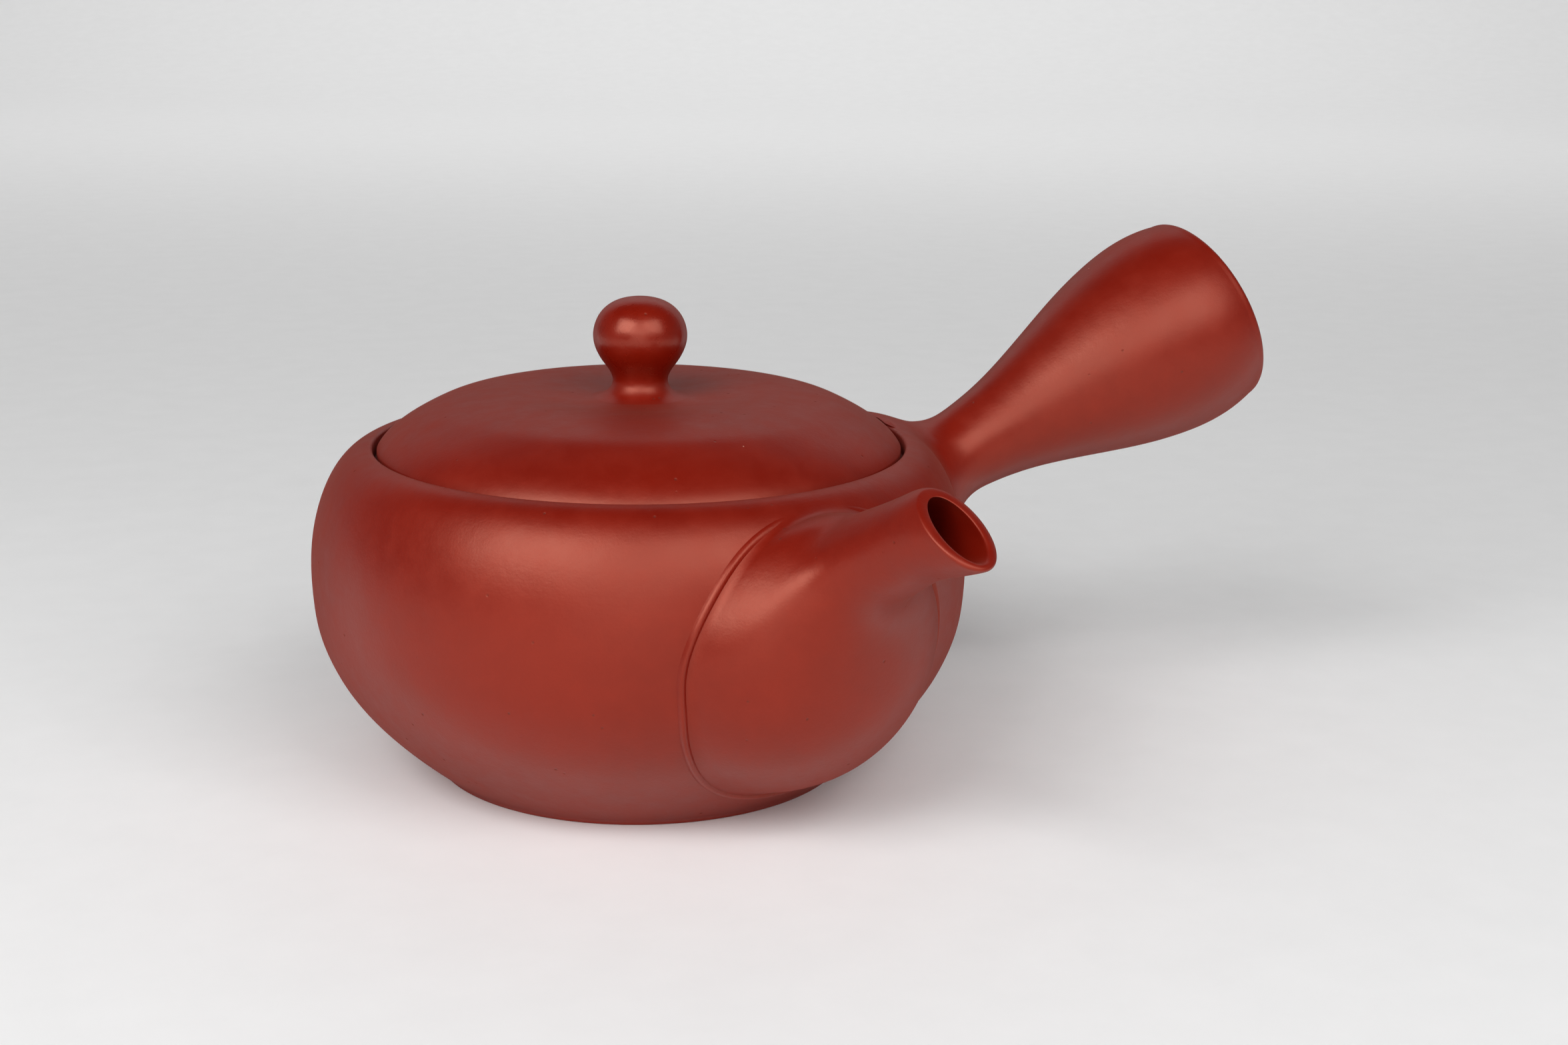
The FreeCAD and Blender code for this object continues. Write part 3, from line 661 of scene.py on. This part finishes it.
def make_seam_bead():
    """A worked bead of clay on the bowl, just outside the foot of the spout."""
    columns = 360
    outside = spout_grid(400, columns)
    starts = first_row_inside(outside, outside_bowl, 0.0)
    foot = restart_rows(outside, starts, 3)[0]
    drift = np.roll(foot, -1, axis=0) - np.roll(foot, 1, axis=0)
    drift /= np.linalg.norm(drift, axis=1)[:, None]
    away = np.cross(drift, bowl_normals(foot))
    if ((foot - foot.mean(0)) * away).sum() < 0:
        away = -away
    random = np.random.default_rng(BEAD_SEED)
    wander = smooth_noise(random, columns, BEAD_WANDER[0]) * BEAD_WANDER[1]
    gone, over = BEAD_FADE
    fade = np.clip((gone - foot[:, 2]) / over, 0, 1) ** 0.7
    rise = (BEAD_RISE + smooth_noise(random, columns, BEAD_UNEVEN[0]) * BEAD_UNEVEN[1]) * fade
    rows = []
    for share in np.linspace(-1, 1, 15):
        across = BEAD_OFFSET + wander + share * BEAD_HALF_WIDTH
        base = onto_bowl(foot + away * across[:, None])
        height = rise * (1 - share ** 2) ** 1.4 - 0.06 * abs(share) ** 3 - 0.03
        rows.append(base + bowl_normals(base) * height[:, None])
    under = [row - bowl_normals(row) * 0.5 for row in (rows[-1], rows[0])]
    grid = np.array(rows + under)
    piece = new_object("seam_bead", grid.reshape(-1, 3) * MM, closed_ring_faces(grid))
    finish_mesh(piece, sharp_degrees=70)
    return piece


def bowl_normals(points):
    """Outward normals of the bowl's outer surface nearest to some points."""
    step = 0.05
    flat = np.c_[np.hypot(points[:, 0], points[:, 1]), points[:, 2]]
    line = bowl_outside[::3]
    across = -side_distance(flat + [step, 0], line) + side_distance(flat - [step, 0], line)
    up = -side_distance(flat + [0, step], line) + side_distance(flat - [0, step], line)
    size = np.hypot(across, up)
    across, up = across / size, up / size
    return np.c_[across * points[:, 0] / flat[:, 0], across * points[:, 1] / flat[:, 0], up]


def onto_bowl(points):
    """Points moved onto the bowl's outer surface."""
    for _ in range(3):
        points = points - bowl_normals(points) * outside_bowl(points)[:, None]
    return points


def smooth_noise(random, count, knots):
    """Noise round a loop between -1 and 1, with a number of humps."""
    values = random.uniform(-1, 1, knots)
    places = np.arange(count) * knots / count
    low = places.astype(int)
    part = places - low
    part = part * part * (3 - 2 * part)
    return values[low % knots] * (1 - part) + values[(low + 1) % knots] * part


# ------------------------------------------------------------------ materials
class Nodes:
    """Short ways to add and link shader nodes."""

    def __init__(self, name):
        self.material = bpy.data.materials.new(name)
        self.material.use_nodes = True
        self.tree = self.material.node_tree
        self.shader = self.tree.nodes["Principled BSDF"]

    def add(self, kind, inputs=None, **settings):
        """A new node, with its inputs linked to sockets or set to values."""
        node = self.tree.nodes.new(kind)
        for key, value in settings.items():
            setattr(node, key, value)
        for key, value in (inputs or {}).items():
            if isinstance(value, bpy.types.NodeSocket):
                self.tree.links.new(value, node.inputs[key])
            else:
                node.inputs[key].default_value = value
        return node

    def maths(self, operation, first, second):
        return self.add("ShaderNodeMath", {0: first, 1: second}, operation=operation).outputs[0]

    def span(self, value, low, high, new_low=0.0, new_high=1.0):
        return self.add("ShaderNodeMapRange", {"Value": value, "From Min": low, "From Max": high,
                                               "To Min": new_low, "To Max": new_high}).outputs[0]

    def mix(self, factor, first, second, blend="MIX"):
        node = self.add("ShaderNodeMix", data_type="RGBA", blend_type=blend)
        for socket, value in ((node.inputs[0], factor), (node.inputs[6], first), (node.inputs[7], second)):
            if isinstance(value, bpy.types.NodeSocket):
                self.tree.links.new(value, socket)
            else:
                socket.default_value = value
        return node.outputs[2]

    def noise(self, place, scale, detail=3.0, roughness=0.55):
        return self.add("ShaderNodeTexNoise", {"Vector": place, "Scale": scale, "Detail": detail,
                                               "Roughness": roughness}).outputs[0]

    def cells(self, place, scale):
        """The distance to the nearest of scattered points, and that point's random colour."""
        cell = self.add("ShaderNodeTexVoronoi", {"Vector": place, "Scale": scale, "Randomness": 1.0})
        chance = self.add("ShaderNodeSeparateColor", {"Color": cell.outputs["Color"]})
        return cell.outputs["Distance"], chance


CLAY = (0.190, 0.0062, 0.0013, 1)
CLAY_DARK = (0.160, 0.0045, 0.0009, 1)
CLAY_PALE = (0.222, 0.0095, 0.0026, 1)
GRIT_PALE = (0.62, 0.33, 0.24, 1)
GRIT_DARK = (0.07, 0.010, 0.006, 1)
HIGHLIGHT = (1.0, 0.42, 0.30, 1)        # fired red clay tints what it reflects

# How many repeats of each kind of unevenness there are in a metre.
CLOUDS, MOTTLES, GRAINS, GRITS, PITS, RINGS = 38.0, 240.0, 2600.0, 330.0, 520.0, 900.0

# How far each kind stands up from the surface, or sinks into it, in metres.
RING_DEPTH, GRAIN_DEPTH, MOTTLE_DEPTH = 0.00003, 0.000016, 0.00006
PIT_DEPTH, GRIT_RISE = 0.00006, 0.00004

GLANCING_ROUGHNESS = 0.42       # what a rough surface gains where it is seen edge-on


def clay_material(name, roughness=0.38, polish=0.0, polish_above=0.0, rings=0.25, tint=1.0):
    """Fired red clay: mottled, finely grained, with grit, pits and faint turning marks.

    Handling has polished it above a height in metres.
    """
    n = Nodes(name)
    place = n.add("ShaderNodeTexCoord").outputs["Object"]
    level = n.add("ShaderNodeSeparateXYZ", {"Vector": place}).outputs[2]
    cloud = n.noise(place, CLOUDS, 3.0, 0.5)
    mottle = n.noise(place, MOTTLES, 4.0, 0.6)
    grain = n.noise(place, GRAINS, 3.0, 0.65)
    grit, chance = n.cells(place, GRITS)
    pale = n.maths("MULTIPLY", n.maths("LESS_THAN", grit, 0.05),
                   n.maths("GREATER_THAN", chance.outputs[0], 0.985))
    hollow, chance = n.cells(place, PITS)
    pit = n.maths("MULTIPLY", n.span(hollow, 0.16, 0.05),
                  n.maths("GREATER_THAN", chance.outputs[1], 0.93))

    colour = n.mix(n.span(cloud, 0.35, 0.68), CLAY_DARK, CLAY)
    colour = n.mix(n.span(mottle, 0.42, 0.75, 0.0, 0.40), colour, CLAY_PALE)
    colour = n.mix(n.span(grain, 0.35, 0.72, 0.0, 0.22), colour, CLAY_DARK)
    colour = n.mix(n.maths("MULTIPLY", pit, 0.55), colour, GRIT_DARK)
    colour = n.mix(pale, colour, GRIT_PALE)
    colour = n.mix(1.0, colour, (tint, tint, tint, 1), blend="MULTIPLY")
    n.tree.links.new(colour, n.shader.inputs["Base Color"])

    rough = n.span(mottle, 0.3, 0.75, roughness - 0.035, roughness + 0.05)
    rough = n.maths("SUBTRACT", rough, n.span(level, polish_above, polish_above + 0.003, 0.0, polish))
    facing = n.add("ShaderNodeLayerWeight", {"Blend": 0.5}).outputs["Facing"]
    rough = n.maths("ADD", rough, n.span(facing, 0.50, 0.92, 0.0, GLANCING_ROUGHNESS))
    rough = n.maths("ADD", rough, n.maths("MULTIPLY", pit, 0.25))
    n.tree.links.new(rough, n.shader.inputs["Roughness"])
    n.shader.inputs["Specular IOR Level"].default_value = 1.0
    n.shader.inputs["Specular Tint"].default_value = HIGHLIGHT

    wander = n.maths("MULTIPLY", n.noise(place, 60.0, 2.0), 0.0016)
    ring_place = n.add("ShaderNodeCombineXYZ", {2: n.maths("ADD", level, wander)}).outputs[0]
    ring = n.noise(ring_place, RINGS, 2.0, 0.6)
    height = n.maths("MULTIPLY", ring, rings * RING_DEPTH)
    for share, depth in ((grain, GRAIN_DEPTH), (mottle, MOTTLE_DEPTH), (pit, -PIT_DEPTH),
                         (pale, GRIT_RISE)):
        height = n.maths("ADD", height, n.maths("MULTIPLY", share, depth))
    bump = n.add("ShaderNodeBump", {"Height": height, "Strength": 1.0, "Distance": 1.0})
    n.tree.links.new(bump.outputs[0], n.shader.inputs["Normal"])
    return n.material


def dress(piece, material):
    """Give a piece one material all over."""
    piece.data.materials.clear()
    piece.data.materials.append(material)


# ------------------------------------------------------------------ build the pot
bowl = make_bowl()
spout_shell = make_spout()
seam_bead = make_seam_bead()
handle_shell = make_handle()
lid_shell = make_lid()
knob_turned = make_knob()

for piece, node, body, finish in (
        (bowl, "pot_body", "pot", {}),
        (spout_shell, "spout", "pot", {}),
        (seam_bead, "spout_seam", "pot", {"polish": 0.04, "rings": 0.0}),
        (handle_shell, "handle", "pot", {"rings": 0.1}),
        (lid_shell, "lid", "lid", {}),
        (knob_turned, "knob", "lid", {"polish": 0.11, "polish_above": 0.0632})):
    dress(piece, clay_material(f"clay_{node}", **finish))
    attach(piece, body)
    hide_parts(node)

for node, tint in (("strainer", 0.92), ("strainer_seam", 0.86)):
    dress(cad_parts[node], clay_material(f"clay_{node}", roughness=0.62, rings=0.0, tint=tint))


# ------------------------------------------------------------------ studio
VIEW_HEADING = 64.4             # degrees about +Z from +X: roughly the way the camera looks
LOOKED_AT = Vector((0.0, 0.0, 0.04))

# Square soft boxes round the pot: degrees from the camera's side, elevation, watts.
SOFT_BOXES = {
    "window_left": (-39.3, 37, 10.8),
    "window_right": (41.5, 37, 7.2),
    "window_gap": (0, 37, 4.4),
    "low_fill": (0, 12, 2.6),
}
SOFT_BOX_SIDE = 0.85
SOFT_BOX_DISTANCE = 1.3
BACK_WASH = (2.6, 0.9, 25)      # width, height, watts
BACK_WASH_LEVEL = 1.5
BACK_WASH_DROP = 0.55           # how steeply it looks down, per metre outwards

SHEET_HALF_WIDTH = 4.0
SHEET_NEAR = -1.6               # how far behind the camera's side the sheet begins
SHEET_BEND = (1.6, 1.2)         # where the sheet starts to rise, and its radius there
SHEET_TOP = 3.4
PAPER_FIBRES = 90.0
PAPER = ((0.90, 0.90, 0.90, 1), (0.92, 0.92, 0.92, 1))

SURROUNDINGS = (0.20, 0.03)     # brightness at eye level and overhead

CAMERA_PLACE = (-0.1317, -0.3311, 0.1317)
CAMERA_HEADING, CAMERA_PITCH, CAMERA_ROLL = 64.478, 14.425, 0.685
CAMERA_LENS = 50.60


def make_backdrop():
    """A pale sheet: level under the pot, then curved up far behind it."""
    start, radius = SHEET_BEND
    bend = arc((start, radius), radius, -90, 0, 24)
    profile = np.vstack([[(SHEET_NEAR, 0.0)], bend, [(start + radius, SHEET_TOP)]])
    heading = math.radians(VIEW_HEADING)
    forward = np.array([math.cos(heading), math.sin(heading)])
    side = np.array([-forward[1], forward[0]])
    verts = []
    for along, up in profile:
        for sideways in (-SHEET_HALF_WIDTH, SHEET_HALF_WIDTH):
            verts.append((*(forward * along + side * sideways), up))
    faces = [(2 * i, 2 * i + 1, 2 * i + 3, 2 * i + 2) for i in range(len(profile) - 1)]
    piece = new_object("backdrop", verts, faces)
    piece.data.shade_smooth()
    n = Nodes("backdrop_paper")
    place = n.add("ShaderNodeTexCoord").outputs["Object"]
    fibre = n.noise(place, PAPER_FIBRES, 4.0)
    n.tree.links.new(n.mix(n.span(fibre, 0.3, 0.7), *PAPER), n.shader.inputs["Base Color"])
    n.shader.inputs["Roughness"].default_value = 0.75
    dress(piece, n.material)


def area_light(name, width, height, watts, location, back):
    """A rectangular light at a place, with a direction for its unlit back."""
    light = bpy.data.lights.new(name, "AREA")
    light.shape = "RECTANGLE"
    light.size, light.size_y = width, height
    light.energy = watts
    lamp = bpy.data.objects.new(name, light)
    lamp.location = location
    lamp.rotation_euler = back.to_track_quat("Z", "Y").to_euler()
    bpy.context.scene.collection.objects.link(lamp)


def soft_box(name, azimuth, elevation, watts):
    """A square light that faces the pot from an azimuth round it."""
    azimuth, elevation = math.radians(azimuth), math.radians(elevation)
    direction = Vector((math.cos(azimuth) * math.cos(elevation),
                        math.sin(azimuth) * math.cos(elevation), math.sin(elevation)))
    area_light(name, SOFT_BOX_SIDE, SOFT_BOX_SIDE, watts,
               LOOKED_AT + direction * SOFT_BOX_DISTANCE, direction)


def back_wash():
    """A wide light behind and above the pot, turned away from it to the rise of the sheet."""
    width, height, watts = BACK_WASH
    heading = math.radians(VIEW_HEADING)
    place = Vector((math.cos(heading), math.sin(heading), BACK_WASH_LEVEL))
    away = Vector((math.cos(heading), math.sin(heading), -BACK_WASH_DROP))
    area_light("back_wash", width, height, watts, place, -away)


def make_world():
    """Dim surroundings, paler at eye level than overhead."""
    world = bpy.data.worlds.new("studio")
    world.use_nodes = True
    tree = world.node_tree
    back = tree.nodes["Background"]
    direction = tree.nodes.new("ShaderNodeTexCoord").outputs["Generated"]
    split = tree.nodes.new("ShaderNodeSeparateXYZ")
    tree.links.new(direction, split.inputs[0])
    span = tree.nodes.new("ShaderNodeMapRange")
    level, overhead = SURROUNDINGS
    for key, value in (("From Min", 0.0), ("From Max", 0.8), ("To Min", level), ("To Max", overhead)):
        span.inputs[key].default_value = value
    tree.links.new(split.outputs[2], span.inputs["Value"])
    tree.links.new(span.outputs[0], back.inputs["Strength"])
    back.inputs["Color"].default_value = (1.0, 1.0, 1.0, 1)
    bpy.context.scene.world = world


def make_studio():
    make_backdrop()
    for name, (turn, elevation, watts) in SOFT_BOXES.items():
        soft_box(name, VIEW_HEADING - 180 + turn, elevation, watts)
    back_wash()
    make_world()
    bpy.context.scene.view_settings.view_transform = "Standard"
    bpy.context.scene.view_settings.look = "None"


def make_camera():
    """A camera at the photograph's viewing angle, very slightly rolled."""
    camera = bpy.data.cameras.new("camera")
    camera.sensor_width = 36.0
    camera.lens = CAMERA_LENS
    camera.clip_start = 0.01
    stand = bpy.data.objects.new("camera", camera)
    heading, pitch = math.radians(CAMERA_HEADING), math.radians(CAMERA_PITCH)
    roll = math.radians(CAMERA_ROLL)
    forward = Vector((math.cos(heading) * math.cos(pitch), math.sin(heading) * math.cos(pitch),
                      -math.sin(pitch)))
    right = forward.cross(Vector((0, 0, 1))).normalized()
    up = right.cross(forward)
    turned_right = right * math.cos(roll) + up * math.sin(roll)
    turned_up = up * math.cos(roll) - right * math.sin(roll)
    matrix = Matrix((turned_right, turned_up, -forward)).transposed().to_4x4()
    matrix.translation = CAMERA_PLACE
    stand.matrix_world = matrix
    bpy.context.scene.collection.objects.link(stand)
    bpy.context.scene.camera = stand


make_studio()
make_camera()
